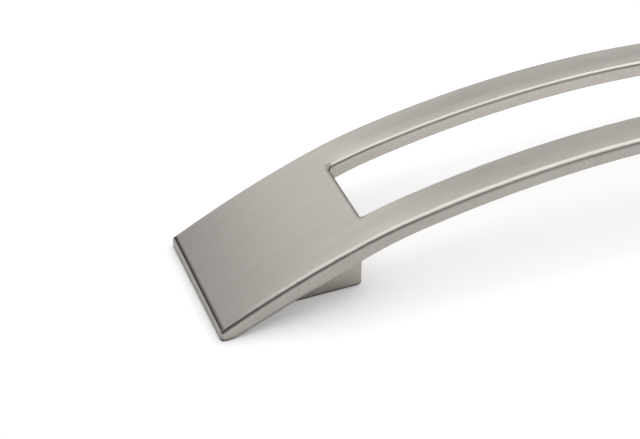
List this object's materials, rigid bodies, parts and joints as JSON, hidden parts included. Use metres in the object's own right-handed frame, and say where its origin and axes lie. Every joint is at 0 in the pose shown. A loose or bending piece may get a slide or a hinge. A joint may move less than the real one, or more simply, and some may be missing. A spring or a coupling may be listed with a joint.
{
  "type": "bow handle",
  "caption": "Arched bow handle for a drawer or cabinet door, with a long slot along its middle and block feet that take screws from behind.",
  "frame": {"origin": "in the mounting plane, midway between the screw holes", "axes": "+X along the handle, +Y across it, +Z away from the drawer front"},
  "size_m": [0.1746, 0.0316, 0.0235],
  "materials": {
    "satin_nickel": "brushed satin"
  },
  "bodies": {
    "root": {"bow_handle": "satin_nickel"}
  },
  "joints": []
}
